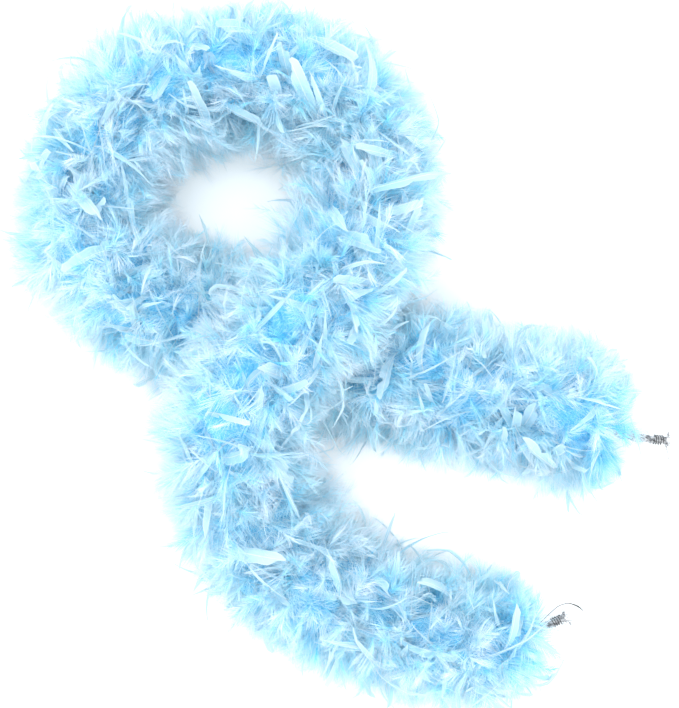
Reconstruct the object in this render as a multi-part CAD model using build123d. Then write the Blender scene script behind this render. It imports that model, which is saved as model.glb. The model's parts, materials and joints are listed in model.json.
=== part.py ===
"""Feather boa lying in an open loop: a twisted cord dressed all along with bound feathers.

Millimetres, Z up. The floor is z = 0 and the origin is the middle of the neck loop.
The boa is built as thirteen lengths, numbered from the right-hand tail tip (01)
round the loop to the lower tail tip (13). Neighbouring lengths meet at a bending point.
"""

import math
import os

from build123d import *

os.makedirs("parts", exist_ok=True)

# ---------------------------------------------------------------- driving dimensions
LENGTHS = 13              # lengths of boa between bending points
FLOOR_LIE = 29.0          # height of the cord above the floor where the boa lies flat
CROSS_LIE = 100.0         # height of the cord where one strand lies over the other
STUB_RIGHT = 50.0         # bare cord showing at the right-hand tail tip
STUB_LOWER = 34.0         # bare cord showing at the lower tail tip
TIP_EXTRA = 31.0          # extra cord in the first and last lengths

STRANDS = 3               # strands twisted into the core cord
STRAND_RADIUS = 2.0
STRAND_OFFSET = 2.5       # strand centre to cord centre
TWIST_PITCH = 46.0        # one full turn of the strands
BEND_GAP = 3.0            # cord left out each side of a bending point

THREAD_RADIUS = 0.5
THREAD_COIL = 5.3         # radius of the thread coil round the cord
THREAD_PITCH = 19.0

DOWN_RADIUS = 30.5        # dense down round the cord
DOWN_NECK = 12.0          # down radius beside a bending point
DOWN_BORE = 6.4           # hole in the down for cord and thread
DOWN_END_GAP = 8.0        # bending point to the start of the down

FEATHERS = 27             # binding places for feathers along one length
FEATHER_ROOT = 6.0        # quill root to cord centre
FEATHER_REACHES = (72.0, 68.0, 62.0, 55.0, 47.0, 39.0)
FEATHER_LEAN = 24.0       # degrees, quills lean along the cord
FEATHER_THICK = 0.8
QUILL_RADIUS = 0.7
FAN_LOW = -26.0           # lowest quill direction, degrees above the horizontal
FAN_SPAN = 232.0          # arc over which the quills spread
GOLDEN_TURN = 0.381966

WHIPPING_RADIUS = 5.2
WHIPPING_LENGTH = 9.0
WHIPPING_START = 6.0      # cord tip to the start of the whipping

# Cord centreline from the right-hand tail tip round the loop to the lower tail tip.
WAYPOINTS = (
    (438, -241, 24),
    (400, -238, 26),
    (320, -213, FLOOR_LIE),
    (190, -181, FLOOR_LIE),
    (65, -147, FLOOR_LIE),
    (-50, -113, FLOOR_LIE),
    (-124, -68, FLOOR_LIE),
    (-151, 8, FLOOR_LIE),
    (-118, 86, FLOOR_LIE),
    (-24, 126, FLOOR_LIE),
    (70, 116, FLOOR_LIE),
    (127, 66, FLOOR_LIE),
    (138, 0, 42),
    (103, -80, 80),
    (46, -150, CROSS_LIE),
    (5, -222, 78),
    (5, -292, 42),
    (43, -364, FLOOR_LIE),
    (118, -412, FLOOR_LIE),
    (215, -439, FLOOR_LIE),
    (296, -437, 27),
    (333, -419, 24),
)

centreline = Spline(*WAYPOINTS)
TOTAL = centreline.length
STEP = (TOTAL - 2 * TIP_EXTRA) / LENGTHS


def joint_distance(index):
    """Distance along the cord of bending point number index (0 and LENGTHS are the tips)."""
    if index == 0:
        return 0.0
    if index == LENGTHS:
        return TOTAL
    return TIP_EXTRA + STEP * index


def cord_frame(distance):
    """Point, tangent, sideways and upward directions of the cord at a distance from the tip."""
    distance = min(max(distance, 0.0), TOTAL)
    point = centreline.position_at(distance, position_mode=PositionMode.LENGTH)
    along = centreline.tangent_at(distance, position_mode=PositionMode.LENGTH).normalized()
    side = Vector(0, 0, 1).cross(along).normalized()
    up = along.cross(side)
    return point, along, side, up


def around(distance, angle, radius):
    """Point on a circle round the cord."""
    point, _, side, up = cord_frame(distance)
    return point + side * (radius * math.cos(angle)) + up * (radius * math.sin(angle))


def coil(start, end, radius, pitch, phase, wire_radius, per_turn=6):
    """Round wire wound round the cord between two distances."""
    turns = (end - start) / pitch
    count = max(4, int(turns * per_turn))
    points = []
    for i in range(count + 1):
        distance = start + (end - start) * i / count
        points.append(around(distance, phase + 2 * math.pi * distance / pitch, radius))
    path = Spline(*points)
    section = Plane(origin=path @ 0, z_dir=path % 0) * Circle(wire_radius)
    return sweep(section, path=path)


def core_cord(start, end):
    """Twisted strands of the cord between two distances."""
    strands = []
    for k in range(STRANDS):
        phase = 2 * math.pi * k / STRANDS
        strands.append(coil(start, end, STRAND_OFFSET, TWIST_PITCH, phase, STRAND_RADIUS))
    return strands


def down_sleeve(start, end):
    """Soft sleeve of down with narrow necks at both ends, flattened where it lies on the floor."""
    profile = ((0.0, DOWN_NECK), (0.06, 19.0), (0.17, 27.5), (0.33, DOWN_RADIUS))
    stations = list(profile) + [(1.0 - u, r) for u, r in reversed(profile)]
    sections = []
    for u, radius in stations:
        point, along, side, _ = cord_frame(start + (end - start) * u)
        sections.append(Plane(origin=point, x_dir=side, z_dir=along) * Circle(radius))
    sleeve = loft(sections)
    bore_points = []
    for i in range(9):
        distance = start - 4 + (end - start + 8) * i / 8
        bore_points.append(cord_frame(distance)[0])
    bore_path = Spline(*bore_points)
    bore = sweep(Plane(origin=bore_path @ 0, z_dir=bore_path % 0) * Circle(DOWN_BORE), path=bore_path)
    below_floor = Pos(100, -150, -50) * Box(1200, 1200, 100)
    return sleeve - bore - below_floor


def make_feather(reach):
    """One flat feather along +X with its quill root at the origin."""
    half_width = 0.125 * reach
    edge = ((0, 0.5), (0.22 * reach, 0.9), (0.55 * reach, half_width),
            (0.84 * reach, 0.66 * half_width), (reach, 0))
    left = Spline(*edge)
    right = mirror(left, about=Plane.XZ)
    stem = Line((0, -0.5), (0, 0.5))
    vane = extrude(make_face([left, right, stem]), amount=FEATHER_THICK / 2, both=True)
    quill = Rot(0, 90, 0) * Cone(QUILL_RADIUS, 0.3, 0.8 * reach, align=(Align.CENTER, Align.CENTER, Align.MIN))
    return vane + quill


def strand_samples(spacing=12.0):
    """Points along the whole cord with their distances, for keeping feathers on their own side."""
    samples = []
    distance = 0.0
    while distance <= TOTAL:
        samples.append((distance, cord_frame(distance)[0]))
        distance += spacing
    return samples


feather_kinds = [(reach, make_feather(reach)) for reach in FEATHER_REACHES]
samples = strand_samples()


def has_room(points, own_distance):
    """True when every point is above the floor and nearer to its own strand than to another."""
    others = [p for d, p in samples if abs(d - own_distance) > 260]
    near = [p for d, p in samples if abs(d - own_distance) < 90]
    for point in points:
        if point.Z < 1.5:
            return False
        own_gap = min((point - p).length for p in near)
        other_gap = min((point - p).length for p in others)
        if other_gap < own_gap + 3.0:
            return False
    return True


def dress(start, end, number):
    """Feathers bound round one length, spread in a fan that stays clear of the floor."""
    feathers = []
    for i in range(FEATHERS):
        serial = number * FEATHERS + i
        distance = start + (end - start) * (i + 0.5) / FEATHERS
        angle = math.radians(FAN_LOW + FAN_SPAN * ((serial * GOLDEN_TURN) % 1.0))
        lean = math.radians(FEATHER_LEAN * math.sin(2.4 * serial))
        roll = 28.0 * math.sin(1.7 * serial)
        point, along, side, up = cord_frame(distance)
        outward = side * math.cos(angle) + up * math.sin(angle)
        across = up * math.cos(angle) - side * math.sin(angle)
        heading = outward * math.cos(lean) + along * math.sin(lean)
        root = point + outward * FEATHER_ROOT
        for reach, feather in feather_kinds[serial % 3:]:
            width = heading.cross(across) * (0.12 * reach)
            checks = [root + heading * (reach * u) for u in (0.4, 0.7, 1.0)]
            checks += [root + heading * (reach * 0.6) + width, root + heading * (reach * 0.6) - width]
            if has_room(checks, distance):
                place = Plane(origin=root, x_dir=heading, z_dir=across)
                feathers.append(place.location * Rot(roll, 0, 0) * feather)
                break
    return feathers


def whipping(start, length):
    """Tight winding that stops the cord tip from unlaying, a sleeve with rounded rims."""
    point, along, _, _ = cord_frame(start + length / 2)
    sleeve = Cylinder(WHIPPING_RADIUS, length) - Cylinder(STRAND_OFFSET + STRAND_RADIUS + 0.15, length)
    rims = sleeve.edges().filter_by(GeomType.CIRCLE).group_by(SortBy.RADIUS)[-1]
    return Plane(origin=point, z_dir=along).location * fillet(rims, 0.3)


def save(name, solids):
    """Write one named node, a single solid or a group of separate solids."""
    solids = [s for item in solids for s in item.solids()]
    shape = solids[0] if len(solids) == 1 else Compound(children=solids)
    shape.label = name
    export_step(shape, f"parts/{name}.step")
    print(name, len(solids), round(sum(s.volume for s in solids) / 1000, 1), "cm3")


for number in range(1, LENGTHS + 1):
    start = joint_distance(number - 1)
    end = joint_distance(number)
    first = number == 1
    last = number == LENGTHS
    cord_start = start + (0 if first else BEND_GAP)
    cord_end = end - (0 if last else BEND_GAP)
    down_start = STUB_RIGHT if first else start + DOWN_END_GAP
    down_end = TOTAL - STUB_LOWER if last else end - DOWN_END_GAP
    thread_start = STUB_RIGHT - 12 if first else start + BEND_GAP + 1
    thread_end = TOTAL - STUB_LOWER + 10 if last else end - BEND_GAP - 1
    save(f"core_cord_{number:02d}", core_cord(cord_start, cord_end))
    save(f"binding_thread_{number:02d}",
         [coil(thread_start, thread_end, THREAD_COIL, THREAD_PITCH, 0.0, THREAD_RADIUS)])
    save(f"down_{number:02d}", [down_sleeve(down_start, down_end)])
    save(f"feathers_{number:02d}", dress(down_start + 1, down_end - 1, number))

save("end_whipping_right", [whipping(WHIPPING_START, WHIPPING_LENGTH)])
save("end_whipping_lower", [whipping(TOTAL - WHIPPING_START - WHIPPING_LENGTH, WHIPPING_LENGTH)])

for index in range(LENGTHS + 1):
    point, along, side, up = cord_frame(joint_distance(index))
    print("bend", index, round(joint_distance(index), 1), [round(v, 2) for v in point],
          [round(v, 4) for v in along], [round(v, 4) for v in side])

tip_middle = WHIPPING_START + WHIPPING_LENGTH / 2
for name, distance, sign in (("right", tip_middle, -1), ("lower", TOTAL - tip_middle, 1)):
    point, along, _, _ = cord_frame(distance)
    print("whip", name, [round(v, 3) for v in point], [round(sign * v, 5) for v in along])
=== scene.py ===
"""Looks of the feather boa: downy barbs, flat feather vanes, dense inner down, cord and thread.

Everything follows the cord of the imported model. Metres, Z up, floor at z = 0.
"""

import json
import math

import bpy
import numpy as np
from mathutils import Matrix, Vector

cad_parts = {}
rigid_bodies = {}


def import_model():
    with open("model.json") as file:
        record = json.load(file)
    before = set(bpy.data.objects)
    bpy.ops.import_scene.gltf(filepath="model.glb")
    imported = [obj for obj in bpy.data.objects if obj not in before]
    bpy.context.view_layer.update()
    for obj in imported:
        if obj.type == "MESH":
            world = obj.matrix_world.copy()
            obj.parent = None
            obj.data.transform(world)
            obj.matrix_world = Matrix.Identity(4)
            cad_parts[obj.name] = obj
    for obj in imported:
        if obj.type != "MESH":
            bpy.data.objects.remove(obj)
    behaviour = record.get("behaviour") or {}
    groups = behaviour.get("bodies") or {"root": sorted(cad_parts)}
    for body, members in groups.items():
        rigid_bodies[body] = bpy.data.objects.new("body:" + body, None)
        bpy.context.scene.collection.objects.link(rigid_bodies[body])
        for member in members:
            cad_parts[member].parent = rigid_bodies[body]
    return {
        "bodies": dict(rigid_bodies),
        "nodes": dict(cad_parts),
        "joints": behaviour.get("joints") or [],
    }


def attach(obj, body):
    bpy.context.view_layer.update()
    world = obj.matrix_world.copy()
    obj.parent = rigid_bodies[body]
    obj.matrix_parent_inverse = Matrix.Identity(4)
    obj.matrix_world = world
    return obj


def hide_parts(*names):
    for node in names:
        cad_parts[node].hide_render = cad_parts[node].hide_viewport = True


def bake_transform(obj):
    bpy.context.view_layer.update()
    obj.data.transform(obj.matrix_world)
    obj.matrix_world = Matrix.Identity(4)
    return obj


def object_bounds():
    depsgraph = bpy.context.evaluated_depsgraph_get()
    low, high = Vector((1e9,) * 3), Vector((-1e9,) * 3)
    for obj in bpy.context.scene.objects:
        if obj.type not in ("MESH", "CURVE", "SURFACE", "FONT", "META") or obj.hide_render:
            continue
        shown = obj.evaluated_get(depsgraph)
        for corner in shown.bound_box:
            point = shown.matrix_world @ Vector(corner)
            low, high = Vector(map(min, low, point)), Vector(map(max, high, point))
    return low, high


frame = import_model()
cad_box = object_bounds()

MM = 0.001
LENGTHS = len(frame["bodies"])
COUNTED_ON = 0.137      # stretch of cord that the numbers of plumes and vanes are counted on
PLUMES = 430            # downy plumes on that stretch
BARBS = 84              # barbs in one plume
VANES = 120             # flat vanes on that stretch
VANE_ROWS = 17          # rows of points from a vane's root to its tip
FLUFF = 80 * MM         # fluff radius
ENDS = (66 * MM, 52 * MM)    # tip of the cord to the first plumes, right-hand and lower
OTHER_STRAND = 0.17     # cord this much further along belongs to another strand
INTERLEAVE = 2 * MM     # how far two strands' feathers reach into each other
COLUMNS = 64            # colour columns shared by the plumes

# turn: centre of the strand, yarn or thread to the line it winds round
STRANDS, STRAND_TURN, STRAND_PITCH = 3, 2.5 * MM, 46 * MM
YARNS, YARN_TURN, YARN_PITCH, YARN_RADIUS = 3, 0.9 * MM, 11 * MM, 1.1 * MM
THREAD_TURN, THREAD_PITCH, THREAD_RADIUS = 5.0 * MM, 19 * MM, 0.5 * MM
WHIP_TURN, WHIP_PITCH, WHIP_RADIUS = 4.7 * MM, 2.4 * MM, 0.46 * MM
WHIP_FROM, WHIP_TO = 5 * MM, 15 * MM    # the whipping, measured from the tip of the cord
CORD_TIP = 1.5 * MM     # tip of the path to the first of the drawn cord
THREAD_PAST = (24 * MM, 22 * MM)    # thread beyond the first plumes and beyond the last
HAIRS = 46              # loose hairs at each tip
HAIR_LENGTH = 11 * MM

MIDDLE = (0.1, -0.15, 0)        # the floor is centred below it, and the lights aim at it
VIEW_CENTRE = (0.1045, -0.154)  # the camera looks straight down on it
VIEW_LEVEL = 50 * MM    # height above the floor at which the picture takes in VIEW_HEIGHT
VIEW_HEIGHT = 0.708
LENS, SENSOR = 85, 36


def vertices(node):
    """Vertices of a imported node, in place."""
    mesh = frame["nodes"][node].data
    co = np.empty(len(mesh.vertices) * 3, np.float32)
    mesh.vertices.foreach_get("co", co)
    return co.reshape(-1, 3).astype(float)


def unit(v):
    return v / np.maximum(np.linalg.norm(v, axis=-1, keepdims=True), 1e-12)


# ---------------------------------------------------------------- the cord's path
class Path:
    """Centre of the cord with its tangent, sideways and upward directions."""

    def __init__(self, points, step=2 * MM):
        gaps = np.linalg.norm(np.diff(points, axis=0), axis=1)
        s = np.concatenate([[0], np.cumsum(gaps)])
        self.total = s[-1]
        self.s = np.arange(0, self.total, step)
        p = np.stack([np.interp(self.s, s, points[:, k]) for k in range(3)], 1)
        kernel = np.exp(-0.5 * (np.arange(-12, 13) / 5.0) ** 2)
        kernel /= kernel.sum()
        padded = np.concatenate([2 * p[:1] - p[12:0:-1], p, 2 * p[-1:] - p[-2:-14:-1]])
        self.p = np.stack([np.convolve(padded[:, k], kernel, "valid") for k in range(3)], 1)
        self.t = unit(np.gradient(self.p, axis=0))

    def at(self, s):
        """Centre, along, side and up at distances s."""
        c = np.stack([np.interp(s, self.s, self.p[:, k]) for k in range(3)], -1)
        t = unit(np.stack([np.interp(s, self.s, self.t[:, k]) for k in range(3)], -1))
        side = unit(np.cross(np.array([0.0, 0.0, 1.0]), t))
        return c, t, side, np.cross(t, side)

    def nearest(self, points):
        """Distance along the path of the place nearest to each point."""
        out = np.empty(len(points))
        for i in range(0, len(points), 4000):
            d = ((points[i:i + 4000, None] - self.p[None]) ** 2).sum(-1)
            out[i:i + 4000] = self.s[d.argmin(1)]
        return out


joints = sorted(frame["joints"], key=lambda j: j["name"][-5:])
bends = np.array([j["pos_m"] for j in joints], float)


def first_path():
    """Coarse path through the bending points and the cord's own vertices."""
    knots = []
    for number in range(1, LENGTHS + 1):
        cord = vertices(f"core_cord_{number:02d}")
        if number == 1:
            a, b = None, bends[0]
        elif number == LENGTHS:
            a, b = bends[-1], None
        else:
            a, b = bends[number - 2], bends[number - 1]
        if a is None:
            far = np.linalg.norm(cord - b, axis=1)
            a = cord[far > far.max() - 3 * MM].mean(0)
        if b is None:
            far = np.linalg.norm(cord - a, axis=1)
            b = cord[far > far.max() - 3 * MM].mean(0)
        reach = np.linalg.norm(b - a)
        u = (cord - a) @ (b - a) / reach ** 2
        knots.append(a)
        edges = np.linspace(0, 1, 12)
        for lo, hi in zip(edges[:-1], edges[1:]):
            inside = cord[(u >= lo) & (u < hi)]
            if len(inside) > 8 and lo > 0.02 and hi < 0.98:
                knots.append(inside.mean(0))
        if number == LENGTHS:
            knots.append(b)
    return np.array(knots)


path = Path(first_path())
bend_s = path.nearest(bends)
tip_s = np.array([0.0, path.total])
stations = np.concatenate([[tip_s[0]], bend_s, [tip_s[1]]])
middles = 0.5 * (stations[:-1] + stations[1:])
low_s, high_s = ENDS[0], path.total - ENDS[1]
group_edges = np.concatenate([[low_s], middles, [high_s]])
GROUPS = LENGTHS + 1


def other_strands(s0, s1):
    """Cord points that belong to another stretch of the boa than s0 to s1."""
    far = (path.s < s0 - OTHER_STRAND) | (path.s > s1 + OTHER_STRAND)
    return path.p[far][::4]


def keep_apart(points, centres, others):
    """Draws points back towards their own cord where another strand lies, and off the floor."""
    low, high = points.min(0) - 0.1, points.max(0) + 0.1
    others = others[((others > low) & (others < high)).all(1)]
    if len(others):
        gap = np.full(len(points), 9.0)
        for i in range(0, len(points), 20000):
            block = points[i:i + 20000]
            d = np.sqrt(((block[:, None] - others[None]) ** 2).sum(-1)).min(1)
            gap[i:i + 20000] = d
        own = np.linalg.norm(points - centres, axis=1)
        near = gap < own - INTERLEAVE
        k = np.clip((own + gap + INTERLEAVE) / np.maximum(2 * own, 1e-9), 0.25, 1.0)
        points[near] = centres[near] + (points - centres)[near] * k[near, None]
    points[:, 2] = np.maximum(points[:, 2], 0.8 * MM)
    return points


# Where the fluff swells or thins: metres along the cord, reach along it, side of the cord
# and share of the radius.
SWELLS = ((0.10, 0.05, -1, 0.20), (0.37, 0.08, 1, 0.22), (0.50, 0.06, -1, 0.15), (0.60, 0.07, 1, 0.28),
          (0.70, 0.04, 1, -0.10), (0.74, 0.08, -1, 0.24), (0.86, 0.05, 1, -0.08), (1.03, 0.06, 1, -0.08),
          (1.15, 0.08, -1, 0.26), (1.38, 0.08, -1, 0.20), (1.50, 0.06, -1, 0.15), (1.53, 0.08, 1, 0.34),
          (1.62, 0.05, -1, -0.10), (1.76, 0.05, 1, -0.15))


def fluff_radius(s, theta):
    """Fluff radius with the uneven outline of real bound feathers."""
    r = 1 + 0.05 * np.sin(s / 0.031 + 1.3 * np.sin(theta)) + 0.045 * np.sin(s / 0.0173 + 2 * theta)
    ends = np.minimum(s - low_s, high_s - s)
    for place, length, hand, gain in SWELLS:
        r = r + gain * np.exp(-((s - place) / length) ** 2) * np.maximum(hand * np.cos(theta), 0)
    return FLUFF * r * (0.66 + 0.34 * np.clip(ends / 0.035, 0, 1) ** 0.6)


def new_mesh(name, mat, points, triangles, uv=None):
    """Mesh object from arrays, in one material. uv holds one pair per vertex."""
    mesh = bpy.data.meshes.new(name)
    mesh.vertices.add(len(points))
    mesh.vertices.foreach_set("co", points.astype(np.float32).ravel())
    mesh.loops.add(triangles.size)
    mesh.loops.foreach_set("vertex_index", triangles.astype(np.int32).ravel())
    mesh.polygons.add(len(triangles))
    mesh.polygons.foreach_set("loop_start", np.arange(0, triangles.size, 3, dtype=np.int32))
    mesh.update(calc_edges=True)
    if uv is not None:
        data = mesh.uv_layers.new(name="OFBake").data
        data.foreach_set("uv", uv[triangles.ravel()].astype(np.float32).ravel())
    mesh.polygons.foreach_set("use_smooth", np.full(len(triangles), True))
    mesh.validate()
    mesh.materials.append(mat)
    obj = bpy.data.objects.new(name, mesh)
    bpy.context.scene.collection.objects.link(obj)
    return obj


# ---------------------------------------------------------------- geometry
def strips(index, closed):
    """Triangles between neighbouring rows of vertex numbers; closed joins the ends of each row."""
    if closed:
        index = np.concatenate([index, index[:, :1]], 1)
    a, b = index[:-1, :-1].ravel(), index[:-1, 1:].ravel()
    d, e = index[1:, :-1].ravel(), index[1:, 1:].ravel()
    return np.concatenate([np.stack([a, b, e], 1), np.stack([a, e, d], 1)])


def copies(triangles, count, size):
    """The same triangles for each of count shapes that have size points each."""
    return (np.arange(count)[:, None, None] * size + triangles[None]).reshape(-1, 3)


def inside_box(points):
    """Holds points to the model's box widened by a small margin, softly at the top, and off the floor."""
    for k in range(2):
        side = cad_box[1][k] - cad_box[0][k]
        slack = 0.03 * side + 8 * MM
        high, low = cad_box[1][k] + slack, cad_box[0][k] - slack
        points[:, k] = np.clip(points[:, k], low, high)
    knee = cad_box[1][2] - 4 * MM
    over = np.maximum(points[:, 2] - knee, 0)
    points[:, 2] = np.minimum(points[:, 2], knee) + 15 * MM * np.tanh(over / (22 * MM))
    points[:, 2] = np.maximum(points[:, 2], 0.4 * MM)
    return points


def trim_ends(points, s0, s1):
    """Draws in what reaches past the ends of the plumage, so that the bare tips stay clear."""
    for s, sign, here in ((low_s, -1.0, s0 <= low_s), (high_s, 1.0, s1 >= high_s)):
        if here:
            c, t, _, _ = path.at(np.array([s]))
            past = np.maximum((points - c[0]) @ t[0] * sign - 5 * MM, 0)
            points = points - t[0] * sign * (0.38 * past)[:, None]
    return points


def downy_barbs(rng, s0, s1):
    """Downy plumes round the cord between s0 and s1: fine barbs fanning off both sides of soft quills."""
    count = int(PLUMES * (s1 - s0) / COUNTED_ON)
    s = rng.uniform(s0, s1, count)
    c, t, side, up = path.at(s)
    theta = rng.uniform(-math.pi, math.pi, count)
    outward = side * np.cos(theta)[:, None] + up * np.sin(theta)[:, None]
    lean = rng.normal(0, 0.4, count)
    axis = unit(outward + t * lean[:, None] + rng.normal(0, 0.14, (count, 3)))
    reach = fluff_radius(s, theta)
    quill = reach * rng.uniform(0.42, 0.9, count)
    start = rng.uniform(5, 16, count) * MM
    drop = (c[:, 2] - 3 * MM) / (start + quill)
    too_low = axis[:, 2] < -drop
    axis[too_low, 2] = -drop[too_low] * rng.uniform(0.35, 1.0, too_low.sum())
    axis = unit(axis)
    bow = rng.normal(0, 0.34, (count, 3)) - np.array([0, 0, 0.06])
    bow -= axis * (bow * axis).sum(1)[:, None]
    flat = unit(np.cross(axis, rng.normal(0, 1, (count, 3))))
    tone = rng.integers(0, COLUMNS, count)
    size = rng.uniform(17, 42, count) * MM
    spray = rng.uniform(0.12, 0.5, count)

    def spread(a):
        return np.repeat(a, BARBS, axis=0)

    n = count * BARBS
    order = np.tile(np.arange(BARBS) // 2 * 2.0 / BARBS, count)
    u = 0.16 + 0.84 * np.clip(order + rng.normal(0, 0.02, n), 0, 1) ** 0.8
    hand = np.tile(np.where(np.arange(BARBS) % 2 == 0, 1.0, -1.0), count)
    axis_n, bow_n, quill_n = spread(axis), spread(bow), spread(quill)
    root = spread(c) + axis_n * spread(start)[:, None]
    base = root + (axis_n * u[:, None] + bow_n * (u ** 2)[:, None]) * quill_n[:, None]
    stem = unit(axis_n + 2 * bow_n * u[:, None])
    around = spread(flat) * hand[:, None] + rng.normal(0, 1, (n, 3)) * spread(spray)[:, None]
    around = unit(around - stem * (around * stem).sum(1)[:, None])
    phi = np.radians(66 - 46 * u + rng.normal(0, 5, n))
    heading = stem * np.cos(phi)[:, None] + around * np.sin(phi)[:, None]
    belly = 0.6 + 0.55 * np.sin(math.pi * np.clip(0.15 + 0.75 * u, 0, 1))
    long = spread(size) * rng.uniform(0.75, 1.1, n) * belly
    curl = stem * 0.5 + spread(rng.normal(0, 0.26, (count, 3))) + rng.normal(0, 0.07, (n, 3))
    width_dir = unit(np.cross(heading, rng.normal(0, 1, (n, 3))))
    centres = spread(c)
    limit = spread(reach * rng.uniform(0.8, 1.1, count))
    steps = np.array([0.0, 0.5, 1.0])
    half = np.array([0.2, 0.17, 0.0]) * MM
    rows, radii = [], []
    for v in steps:
        p = base + (heading * v + curl * (0.5 * v * v)) * long[:, None]
        p += rng.normal(0, 0.2, (n, 3)) * MM * v
        away = p - centres
        r = np.linalg.norm(away, axis=1)
        r2 = np.where(r > limit, limit + (r - limit) * 0.45, r)
        p = centres + away * (r2 / np.maximum(r, 1e-9))[:, None]
        radii.append(r2)
        rows.append(p)
    others = other_strands(s0, s1)
    flat_rows = keep_apart(np.concatenate(rows), np.tile(centres, (3, 1)), others)
    rows = flat_rows.reshape(3, n, 3)
    points = np.empty((n, 5, 3))
    uv = np.empty((n, 5, 2))
    column = (spread(tone) + 0.5) / COLUMNS
    for k in range(2):
        points[:, 2 * k] = rows[k] - width_dir * half[k]
        points[:, 2 * k + 1] = rows[k] + width_dir * half[k]
    points[:, 4] = rows[2]
    for k in range(3):
        v = np.clip(0.62 * radii[k] / FLUFF + 0.36 * steps[k] + 0.02, 0.01, 0.99)
        for slot in ((0, 1), (2, 3), (4,))[k]:
            uv[:, slot, 0] = column
            uv[:, slot, 1] = v
    tri = np.array([[0, 1, 3], [0, 3, 2], [2, 3, 4]])
    return inside_box(trim_ends(points.reshape(-1, 3), s0, s1)), copies(tri, n, 5), uv.reshape(-1, 2)


def vane_uv(u, steps, shape):
    """Colour column u across, and the way from root to tip."""
    u = np.broadcast_to(u, shape)
    v = np.broadcast_to((0.02 + 0.96 * steps)[None, :, None], shape)
    return np.stack([u, v], -1).reshape(-1, 2)


def quill_rods(middle, flat, normal, steps, tone):
    """Slim three-sided quills along the middles of the vanes, proud of both faces."""
    sides, count = 3, len(tone)
    rod = np.empty((VANE_ROWS, sides, count, 3))
    for i, v in enumerate(steps):
        thick = (0.75 - 0.6 * v) * MM
        for j in range(sides):
            angle = 2 * math.pi * j / sides
            rod[i, j] = middle[i] + (flat[i] * math.cos(angle) + normal[i] * math.sin(angle)) * thick
    ring = np.arange(VANE_ROWS * sides).reshape(VANE_ROWS, sides)
    points = inside_box(rod.transpose(2, 0, 1, 3).reshape(-1, 3))
    uv = vane_uv(((tone + 0.5) / COLUMNS)[:, None, None], steps, (count, VANE_ROWS, sides))
    return points, copies(strips(ring, True), count, ring.size), uv


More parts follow.
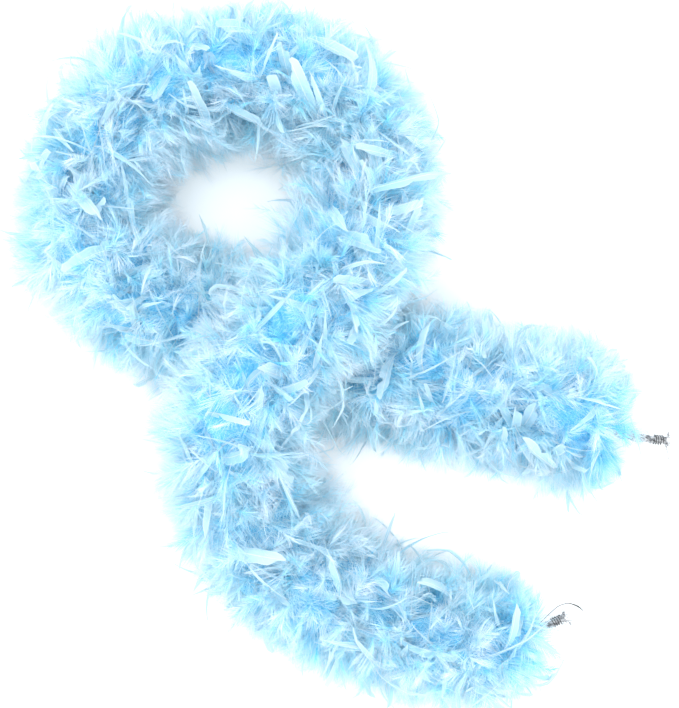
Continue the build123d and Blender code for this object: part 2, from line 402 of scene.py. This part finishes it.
def vanes(rng, s0, s1):
    """Flat feather tips: curved slivers and blunt spades, each with a raised quill."""
    count = int(VANES * (s1 - s0) / COUNTED_ON)
    s = rng.uniform(s0, s1, count)
    c, t, side, up = path.at(s)
    theta = rng.uniform(-0.6, math.pi + 0.6, count)
    stray = rng.random(count) < 0.2
    beside = np.where(rng.random(count) < 0.5, 0, math.pi) + rng.normal(0, 0.45, count)
    theta = np.where(stray, beside, theta)
    outward = side * np.cos(theta)[:, None] + up * np.sin(theta)[:, None]
    outward = unit(outward + t * rng.normal(0, 0.35, count)[:, None])
    wander = rng.normal(0, 1, (count, 3))
    wander = unit(wander - outward * (wander * outward).sum(1)[:, None])
    slim = (rng.random(count) < 0.5) | stray
    length = np.where(slim, rng.uniform(26, 58, count), rng.uniform(28, 50, count)) * MM
    wide = np.where(slim, rng.uniform(1.5, 3.6, count), rng.uniform(4.6, 8.4, count)) * MM
    root_out = np.where(stray, rng.uniform(40, 60, count), rng.uniform(30, 60, count)) * MM
    root = c + outward * root_out[:, None]
    rise = np.where(stray, 1.0, rng.uniform(0.1, 0.8, count))[:, None]
    reach = fluff_radius(s, theta) * np.where(stray, rng.uniform(1.08, 1.32, count), 1.03)
    bend = rng.uniform(0.1, 1.3, count)[:, None] * np.where(stray, 0.6, 1.0)[:, None]
    sideways = np.cross(outward, wander) * rng.normal(0, 0.6, count)[:, None]
    steps = np.linspace(0, 1, VANE_ROWS)
    across = np.array([-1, -0.5, 0, 0.5, 1.0])
    blunt = (rng.random(count) < np.where(slim, 0.25, 0.75)) * rng.uniform(0.6, 1, count)
    twist = rng.normal(0, 1, count) * np.where(slim, 1.5, 0.7)
    facing = rng.uniform(-1, 1, count) * np.where(slim, 1.2, 0.7)
    cup = rng.uniform(-0.7, 0.9, count)
    narrow = np.where(rng.random(count) < 0.5, rng.uniform(0.12, 0.5, count),
                      rng.uniform(0.6, 1, count))
    flip = rng.random(count) < 0.5
    split_row = rng.integers(8, VANE_ROWS - 2, count)
    split = np.where(rng.random(count) < 0.45, rng.uniform(0.3, 0.6, count), 1.0)
    cut_slant = rng.uniform(-0.12, 0.12, count)
    spine = []
    for v in steps:
        p = root + ((outward * rise + wander * (1 - 0.4 * rise)) * v
                    + (wander * bend * 0.6 - outward * bend * 0.55 + sideways) * v * v) * length[:, None]
        away = p - c
        r = np.linalg.norm(away, axis=1)
        p = c + away * (np.minimum(r, reach + (r - reach) * 0.4) / r)[:, None]
        spine.append(p)
    spine = np.array(spine)
    tangent = unit(np.gradient(spine, axis=0))
    flat = unit(np.cross(tangent, outward[None]))
    normal = unit(np.cross(flat, tangent))
    sheet = np.empty((VANE_ROWS, 5, count, 3))
    ragged = 1 + rng.normal(0, 0.06, (VANE_ROWS, 5, count))
    for i, v in enumerate(steps):
        lance = min((v + 0.04) / 0.5, 1.0) ** 0.7 * max(1 - max(v - 0.42, 0) / 0.58, 0) ** 0.85
        roll = facing + twist * (v - 0.5)
        edge = flat[i] * np.cos(roll)[:, None] + normal[i] * np.sin(roll)[:, None]
        lift = normal[i] * np.cos(roll)[:, None] - flat[i] * np.sin(roll)[:, None]
        for j, a in enumerate(across):
            cut = v + cut_slant * a + 0.05 * abs(a)
            spade = np.clip((v + 0.03) / 0.62, 0, 1) ** 0.8 * np.clip((1.02 - cut) / 0.1, 0.05, 1)
            w = wide * (lance * (1 - blunt) + spade * blunt) + 0.25 * MM
            if a < 0:
                w = w * np.where(flip, narrow, 1.0)
            elif a > 0:
                w = w * np.where(flip, 1.0, narrow)
            if abs(a) == 1:
                w = w * np.where((split_row == i) & (flip == (a > 0)), split, 1.0)
            sweep = abs(a) * 0.4 * w * (v - 0.1)
            sheet[i, j] = (spine[i] + edge * (w * a * ragged[i, j])[:, None]
                           + lift * (w * cup * a * a)[:, None] + tangent[i] * sweep[:, None])
    others = other_strands(s0, s1)
    shape = sheet.shape
    centres = np.broadcast_to(c, shape)
    sheet = keep_apart(sheet.reshape(-1, 3), centres.reshape(-1, 3), others)
    sheet = inside_box(trim_ends(sheet, s0, s1)).reshape(shape)
    grid = np.arange(VANE_ROWS * 5).reshape(VANE_ROWS, 5)
    points = sheet.transpose(2, 0, 1, 3).reshape(-1, 3)
    triangles = copies(strips(grid, False), count, grid.size)
    tone = rng.integers(0, COLUMNS, count)
    u = (tone[:, None, None] + 0.5 + 0.42 * across[None, None, :]) / COLUMNS
    uv = vane_uv(u, steps, (count, VANE_ROWS, 5))
    rod_points, rod_triangles, rod_uv = quill_rods(sheet[:, 2], flat, normal, steps, tone)
    return (np.concatenate([points, rod_points]),
            np.concatenate([triangles, rod_triangles + len(points)]), np.concatenate([uv, rod_uv]))


def dense_down(s0, s1):
    """Lumpy closed body of packed down that fills the inside of the fluff."""
    rows, ring = max(10, int((s1 - s0) / (3.5 * MM))), 56
    s = np.linspace(s0, s1, rows)
    theta = np.linspace(0, 2 * math.pi, ring, endpoint=False)
    ss, th = np.meshgrid(s, theta, indexing="ij")
    c, t, side, up = path.at(ss.ravel())
    ss, th = ss.ravel(), th.ravel()
    r = 0.5 * fluff_radius(ss, th)
    r *= 1 + 0.1 * np.sin(ss / 0.0061 + 3 * th) * np.sin(5 * th + ss / 0.011)
    ends = np.clip(np.minimum(ss - low_s, high_s - ss) / 0.03, 0, 1)
    r = np.maximum(r * ends ** 0.5, 5.4 * MM)
    outward = side * np.cos(th)[:, None] + up * np.sin(th)[:, None]
    points = keep_apart(c + outward * r[:, None], c, other_strands(s0, s1))
    index = np.arange(rows * ring).reshape(rows, ring)
    tri = [strips(index, True)[:, [0, 2, 1]]]
    caps = path.at(np.array([s0, s1]))[0]
    first, last = len(points), len(points) + 1
    points = np.concatenate([points, caps])
    head, tail = index[0], index[-1]
    tri.append(np.stack([np.full(ring, first), head, np.roll(head, -1)], 1))
    tri.append(np.stack([np.full(ring, last), np.roll(tail, -1), tail], 1))
    return points, np.concatenate(tri)


def tube(centres, radius, sides):
    """Closed tube along a row of centres; radius may vary along it."""
    radius = np.broadcast_to(radius, (len(centres),))
    t = unit(np.gradient(centres, axis=0))
    guide = np.array([0.0, 0.0, 1.0])
    side = unit(np.cross(guide, t) + 1e-9)
    up = np.cross(t, side)
    angle = np.linspace(0, 2 * math.pi, sides, endpoint=False)
    ring = side[:, None] * np.cos(angle)[None, :, None] + up[:, None] * np.sin(angle)[None, :, None]
    points = (centres[:, None] + ring * radius[:, None, None]).reshape(-1, 3)
    index = np.arange(len(points)).reshape(-1, sides)
    tri = [strips(index, True)]
    first, last = len(points), len(points) + 1
    points = np.concatenate([points, centres[:1], centres[-1:]])
    tri.append(np.stack([np.full(sides, first), np.roll(index[0], -1), index[0]], 1))
    tri.append(np.stack([np.full(sides, last), index[-1], np.roll(index[-1], -1)], 1))
    return points, np.concatenate(tri)


def wound(s0, s1, radius, pitch, phase, step):
    """Centres of a strand wound round the cord between s0 and s1, one each step or closer."""
    s = np.linspace(s0, s1, max(8, int((s1 - s0) / step)))
    c, t, side, up = path.at(s)
    angle = phase + 2 * math.pi * s / pitch
    return c + side * (radius * np.cos(angle))[:, None] + up * (radius * np.sin(angle))[:, None]


def joined(parts):
    """One pair of arrays from several (points, triangles) pairs."""
    points, triangles, base = [], [], 0
    for p, t in parts:
        points.append(p)
        triangles.append(t + base)
        base += len(p)
    return np.concatenate(points), np.concatenate(triangles)


def cord_strands(s0, s1):
    """Three twisted strands, each laid from finer yarns that show as ridges."""
    parts = []
    for k in range(STRANDS):
        phase = 2 * math.pi * k / STRANDS
        main = wound(s0, s1, STRAND_TURN, STRAND_PITCH, phase, 1.4 * MM)
        s = np.linspace(s0, s1, len(main))
        t = unit(np.gradient(main, axis=0))
        side = unit(np.cross(np.array([0.0, 0.0, 1.0]), t))
        up = np.cross(t, side)
        for y in range(YARNS):
            turn = 2 * math.pi * (y / YARNS + s / YARN_PITCH)
            sideways = side * (YARN_TURN * np.cos(turn))[:, None]
            yarn = main + sideways + up * (YARN_TURN * np.sin(turn))[:, None]
            parts.append(tube(yarn, YARN_RADIUS, 7))
    return joined(parts)


def tip_fibres(rng, s0, s1, count, reach):
    """Loose hairs of yarn standing off the bare cord."""
    parts = []
    for _ in range(count):
        s = rng.uniform(s0, s1)
        c, t, side, up = path.at(np.array([s]))
        angle = rng.uniform(-0.5, math.pi + 0.5)
        outward = side[0] * math.cos(angle) + up[0] * math.sin(angle)
        along = t[0] * rng.choice([-1, 1]) * rng.uniform(0.5, 1.6)
        v = np.linspace(0, 1, 7)[:, None]
        length = rng.uniform(0.4, 1.0) * reach
        centres = c + outward * 4.3 * MM + (outward * (v * 0.8) + along * v * v) * length
        centres += np.cumsum(rng.normal(0, 0.25, (7, 3)), 0) * MM
        centres[:, 2] = np.maximum(centres[:, 2], 1 * MM)
        parts.append(tube(centres, np.linspace(0.16, 0.05, 7) * MM, 4))
    return joined(parts)


def frayed_end(rng, s, sign):
    """Loosened yarn ends that curl out of the cut end of the cord."""
    c, t, side, up = (v[0] for v in path.at(np.array([s])))
    parts = []
    for _ in range(16):
        angle = rng.uniform(0, 2 * math.pi)
        away = side * math.cos(angle) + up * math.sin(angle)
        v = np.linspace(0, 1, 12)[:, None]
        length = rng.uniform(6, 11.5) * MM
        start = c + away * rng.uniform(0.8, 3.4) * MM - t * sign * 3 * MM
        hook = np.cross(t, away) * rng.normal(0, 0.7) - t * sign * rng.uniform(0, 0.7)
        centres = start + (t * sign * v + away * rng.uniform(0.1, 0.6) * v + hook * v ** 2.5) * length
        centres[:, 2] = np.maximum(centres[:, 2], 1 * MM)
        parts.append(tube(centres, np.linspace(0.62, 0.3, 12) * MM, 6))
    return joined(parts)


def loose_thread():
    """Cut end of the binding thread, arching out beside the lower tip."""
    c, t, side, up = (v[0] for v in path.at(np.array([path.total])))
    knots = np.array([(-34, 4, 4), (-16, 11, 8), (-3, 15, 9), (8, 13, 7), (16, 5, 4), (20, -4, 2)]) * MM
    v = np.linspace(0, 5, 60)
    local = np.stack([np.interp(v, np.arange(6), knots[:, k]) for k in range(3)], 1)
    kernel = np.hanning(15) / np.hanning(15).sum()
    local[7:-7] = np.stack([np.convolve(local[:, k], kernel, "valid") for k in range(3)], 1)
    centres = c + t * local[:, :1] + side * local[:, 1:2] + up * local[:, 2:]
    return tube(centres, np.interp(v, (0, 3, 4, 5), (0.25, 0.4, 0.85, 0.2)) * MM, 6)


# ---------------------------------------------------------------- materials
def material(name):
    mat = bpy.data.materials.new(name)
    mat.use_nodes = True
    tree = mat.node_tree
    return mat, tree.nodes, tree.links, tree.nodes["Principled BSDF"]


def setting(shader, values):
    """Sets a shader's inputs by name."""
    for name, value in values.items():
        shader.inputs[name].default_value = value


def ramp_node(nodes, links, place, stops):
    """Colour at a place between stops."""
    ramp = nodes.new("ShaderNodeValToRGB")
    element = ramp.color_ramp.elements
    while len(element) < len(stops):
        element.new(0.5)
    for e, (position, colour) in zip(element, stops):
        e.position = position
        e.color = (*colour, 1)
    links.new(place, ramp.inputs[0])
    return ramp.outputs[0]


def noise_node(nodes, links, vector, scale, detail):
    noise = nodes.new("ShaderNodeTexNoise")
    noise.inputs["Scale"].default_value = scale
    noise.inputs["Detail"].default_value = detail
    links.new(vector, noise.inputs["Vector"])
    return noise.outputs[0]


def bump_node(nodes, links, shader, height, strength, distance):
    bump = nodes.new("ShaderNodeBump")
    bump.inputs["Strength"].default_value = strength
    bump.inputs["Distance"].default_value = distance
    links.new(height, bump.inputs["Height"])
    links.new(bump.outputs[0], shader.inputs["Normal"])


def calculator(nodes, links):
    """Returns a function that adds one math node; its a and b are sockets or numbers."""
    def calc(operation, a, b=0):
        node = nodes.new("ShaderNodeMath")
        node.operation = operation
        for socket, value in zip(node.inputs, (a, b)):
            if isinstance(value, (int, float)):
                socket.default_value = value
            else:
                links.new(value, socket)
        return node.outputs[0]
    return calc


def swung(calc, band, swing, middle):
    """A random value between 0 and 1, turned into a swing about a middle value."""
    return calc("ADD", calc("MULTIPLY", calc("SUBTRACT", band, 0.5), swing), middle)


def vane_lines(nodes, links, shader, uv, split, column, colour):
    """Slanting barb lines with bump, a pale quill and a painted highlight along both rims. Returns the new
    colour.
    """
    calc = calculator(nodes, links)
    across = calc("SUBTRACT", calc("MULTIPLY", split.outputs[0], COLUMNS), column)
    off = calc("ABSOLUTE", calc("SUBTRACT", across, 0.5))
    slant = calc("SUBTRACT", split.outputs[1], calc("MULTIPLY", off, 0.3))
    wave = calc("SINE", calc("MULTIPLY", slant, 260.0))
    fine = noise_node(nodes, links, uv, 60, 2)
    ridges = calc("ADD", calc("MULTIPLY", wave, 0.5), fine)
    quill = calc("MULTIPLY", calc("LESS_THAN", off, 0.03), 0.85)
    # painted highlight: both long edges of every vane are lightened to pale blue-white, wherever the light
    # falls
    rim_highlight = calc("MULTIPLY", calc("GREATER_THAN", off, 0.37), 0.45)
    streak = calc("MULTIPLY", calc("ADD", wave, 1.0), 0.09)
    # mixes the pale quill, the painted rim highlight and the barb streaks into the vane colour
    quill_and_highlight_mix = nodes.new("ShaderNodeMix")
    quill_and_highlight_mix.data_type = "RGBA"
    quill_and_highlight_mix.inputs["B"].default_value = (0.86, 0.93, 0.96, 1)
    links.new(calc("ADD", quill, calc("ADD", rim_highlight, streak)), quill_and_highlight_mix.inputs["Factor"])
    links.new(colour, quill_and_highlight_mix.inputs["A"])
    bump_node(nodes, links, shader, ridges, 0.35, 0.4 * MM)
    return quill_and_highlight_mix.outputs["Result"]


def let_through(nodes, links, shader, colour, share):
    """Mixes light that shines through the thin barbs into the shader."""
    through = nodes.new("ShaderNodeBsdfTranslucent")
    links.new(colour, through.inputs["Color"])
    both = nodes.new("ShaderNodeMixShader")
    both.inputs[0].default_value = share
    links.new(shader.outputs[0], both.inputs[1])
    links.new(through.outputs[0], both.inputs[2])
    links.new(both.outputs[0], nodes["Material Output"].inputs["Surface"])


def plume_material(name, stops, tone_shift, value_swing, hue_swing, lines=False):
    """Colour runs along the stops from root to tip, and every colour column has its own tone."""
    mat, nodes, links, shader = material(name)
    calc = calculator(nodes, links)
    uv = nodes.new("ShaderNodeUVMap")
    uv.uv_map = "OFBake"
    split = nodes.new("ShaderNodeSeparateXYZ")
    links.new(uv.outputs[0], split.inputs[0])
    column = calc("FLOOR", calc("MULTIPLY", split.outputs[0], COLUMNS))
    noise = nodes.new("ShaderNodeTexWhiteNoise")
    noise.noise_dimensions = "1D"
    links.new(column, noise.inputs["W"])
    bands = nodes.new("ShaderNodeSeparateColor")
    links.new(noise.outputs["Color"], bands.inputs[0])
    place = swung(calc, bands.outputs[0], tone_shift, split.outputs[1])
    tone = nodes.new("ShaderNodeHueSaturation")
    links.new(ramp_node(nodes, links, place, stops), tone.inputs["Color"])
    links.new(swung(calc, bands.outputs[1], value_swing, 1.0), tone.inputs["Value"])
    links.new(swung(calc, bands.outputs[2], hue_swing, 0.5), tone.inputs["Hue"])
    colour = tone.outputs[0]
    if lines:
        colour = vane_lines(nodes, links, shader, uv.outputs[0], split, column, colour)
    links.new(colour, shader.inputs["Base Color"])
    let_through(nodes, links, shader, colour, 0.42)
    setting(shader, {"Roughness": 0.62 if lines else 0.8, "Specular IOR Level": 0.35 if lines else 0.2,
                     "Sheen Weight": 0.25, "Sheen Roughness": 0.5})
    return mat


def spun_material(name, scale, detail, stops, bump, finish):
    """Matt fibre or matted down: uneven tone and bump from one noise. bump is strength, distance."""
    mat, nodes, links, shader = material(name)
    coords = nodes.new("ShaderNodeTexCoord")
    noise = noise_node(nodes, links, coords.outputs["Object"], scale, detail)
    links.new(ramp_node(nodes, links, noise, stops), shader.inputs["Base Color"])
    bump_node(nodes, links, shader, noise, *bump)
    setting(shader, finish)
    return mat


def fibre_material(name, dark, light, scale):
    """Spun fibre of the cord, yarn and thread."""
    return spun_material(name, scale, 5, ((0.35, dark), (0.62, light)), (0.6, 0.5 * MM), {"Roughness": 0.85})


DEEP, BLUE, MID = (0.11, 0.65, 0.92), (0.32, 0.78, 0.95), (0.61, 0.87, 0.96)
PALE, TIP = (0.75, 0.89, 0.955), (0.84, 0.895, 0.95)
barb_mat = plume_material("downy_barbs", ((0.1, DEEP), (0.4, BLUE), (0.6, MID), (0.8, PALE), (0.97, TIP)),
                          0.5, 0.12, 0.02)
vane_mat = plume_material("feather_vanes", ((0.0, (0.28, 0.62, 0.82)), (0.25, (0.42, 0.70, 0.84)),
                                           (0.7, (0.57, 0.77, 0.86)), (1.0, (0.64, 0.80, 0.87))),
                          0.34, 0.1, 0.015, lines=True)
down_mat = spun_material("packed_down", 420, 6,
                         ((0.3, (0.14, 0.52, 0.80)), (0.5, (0.22, 0.62, 0.87)), (0.7, (0.36, 0.74, 0.92))),
                         (0.8, 2 * MM), {"Roughness": 0.95, "Specular IOR Level": 0.1})
cord_mat = fibre_material("spun_cord", (0.13, 0.13, 0.14), (0.62, 0.62, 0.63), 330)
thread_mat = fibre_material("binding_thread", (0.25, 0.38, 0.5), (0.55, 0.72, 0.85), 1500)
whip_mat = fibre_material("whipping_thread", (0.02, 0.02, 0.022), (0.11, 0.108, 0.112), 1200)
fray_mat = fibre_material("frayed_yarn", (0.03, 0.03, 0.034), (0.5, 0.5, 0.52), 420)


# ---------------------------------------------------------------- pieces
def settle(piece, g):
    """The end groups ride on the end lengths; any other, which lies across its own bending point, is left
    unattached with its placing baked into the mesh.
    """
    if g == 0:
        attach(piece, "length_01")
    elif g == GROUPS - 1:
        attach(piece, f"length_{LENGTHS:02d}")
    else:
        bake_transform(piece)


for g in range(GROUPS):
    first, last = g == 0, g == GROUPS - 1
    s0, s1 = group_edges[g], group_edges[g + 1]
    rng = np.random.default_rng(1000 + g)
    barbs = new_mesh(f"downy_barbs_{g:02d}", barb_mat, *downy_barbs(rng, s0, s1))
    leaves = new_mesh(f"feather_vanes_{g:02d}", vane_mat, *vanes(rng, s0, s1))
    core = new_mesh(f"packed_down_{g:02d}", down_mat, *dense_down(s0, s1))
    laid = cord_strands(CORD_TIP if first else s0, path.total - CORD_TIP if last else s1)
    cord = new_mesh(f"twisted_cord_{g:02d}", cord_mat, *laid)
    coil = wound(s0 - THREAD_PAST[0] if first else s0, s1 + THREAD_PAST[1] if last else s1,
                 THREAD_TURN, THREAD_PITCH, 0.0, 1.2 * MM)
    thread = new_mesh(f"wound_thread_{g:02d}", thread_mat, *tube(coil, THREAD_RADIUS, 6))
    slots = {barbs: "down", leaves: "feather", core: "down", cord: "cord", thread: "thread"}
    for piece, slot in slots.items():
        settle(piece, g)
    if not last:
        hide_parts(f"down_{g + 1:02d}")
        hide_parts(f"feathers_{g + 1:02d}")
        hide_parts(f"core_cord_{g + 1:02d}")
        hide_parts(f"binding_thread_{g + 1:02d}")


def from_tip(end, near, far):
    """The stretch of the path that lies between two distances from a tip."""
    return (near, far) if end == "right" else (path.total - far, path.total - near)


# dark whippings, frayed ends and loose hairs at the two bare tips
rng = np.random.default_rng(77)
for end, body, sign, bare in (("right", "length_01", -1, 50 * MM),
                              ("lower", f"length_{LENGTHS:02d}", 1, 36 * MM)):
    turns = wound(*from_tip(end, WHIP_FROM, WHIP_TO), WHIP_TURN, WHIP_PITCH, 0.3, 0.16 * MM)
    winding = new_mesh(f"end_whipping_coil_{end}", whip_mat, *tube(turns, WHIP_RADIUS, 6))
    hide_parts(f"end_whipping_{end}")
    tip = from_tip(end, CORD_TIP, CORD_TIP)[0]
    frayed = new_mesh(f"frayed_cord_end_{end}", fray_mat, *frayed_end(rng, tip, sign))
    hairs = tip_fibres(rng, *from_tip(end, 2 * MM, bare), HAIRS, HAIR_LENGTH)
    loose = new_mesh(f"cord_hairs_{end}", cord_mat, *hairs)
    for piece, slot in ((winding, "whipping"), (frayed, "cord"), (loose, "cord")):
        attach(piece, body)

thread_tail = new_mesh("loose_thread_end", whip_mat, *loose_thread())
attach(thread_tail, f"length_{LENGTHS:02d}")


# ---------------------------------------------------------------- floor, light, camera
def pale_floor():
    bpy.ops.mesh.primitive_plane_add(size=60, location=(*MIDDLE[:2], -0.2 * MM))
    floor = bpy.context.object
    floor.name = "floor"
    mat, _, _, shader = material("pale_floor")
    setting(shader, {"Emission Color": (1, 1, 1, 1), "Emission Strength": 0.1,
                     "Base Color": (0.80, 0.80, 0.80, 1), "Roughness": 0.9, "Specular IOR Level": 0.1})
    floor.data.materials.append(mat)


def studio_sky():
    """Soft light from all round, stronger from above."""
    world = bpy.data.worlds.new("studio")
    bpy.context.scene.world = world
    world.use_nodes = True
    nodes, links = world.node_tree.nodes, world.node_tree.links
    calc = calculator(nodes, links)
    nodes["Background"].inputs[0].default_value = (0.94, 0.98, 1.0, 1)
    sky = nodes.new("ShaderNodeTexCoord")
    split = nodes.new("ShaderNodeSeparateXYZ")
    links.new(sky.outputs["Generated"], split.inputs[0])
    height = calc("MAXIMUM", split.outputs[2], 0.0)
    strength = calc("ADD", calc("MULTIPLY", height, 1.7), 0.75)
    links.new(strength, nodes["Background"].inputs[1])


def area_light(name, place, size, power):
    data = bpy.data.lights.new(name, "AREA")
    data.size = size
    data.energy = power
    obj = bpy.data.objects.new(name, data)
    bpy.context.scene.collection.objects.link(obj)
    obj.location = place
    obj.rotation_euler = (Vector(MIDDLE) - Vector(place)).to_track_quat("-Z", "Y").to_euler()


def camera_above():
    data = bpy.data.cameras.new("camera")
    data.lens = LENS
    data.sensor_width = SENSOR
    data.clip_end = 20
    camera = bpy.data.objects.new("camera", data)
    bpy.context.scene.collection.objects.link(camera)
    camera.location = (*VIEW_CENTRE, VIEW_HEIGHT * LENS / SENSOR + VIEW_LEVEL)
    bpy.context.scene.camera = camera


pale_floor()
studio_sky()
area_light("key", (-0.7, 0.7, 1.5), 0.9, 9)
area_light("fill", (1.2, -0.9, 1.4), 1.4, 6)
camera_above()
bpy.context.scene.view_settings.view_transform = "Standard"
bpy.context.scene.view_settings.look = "None"
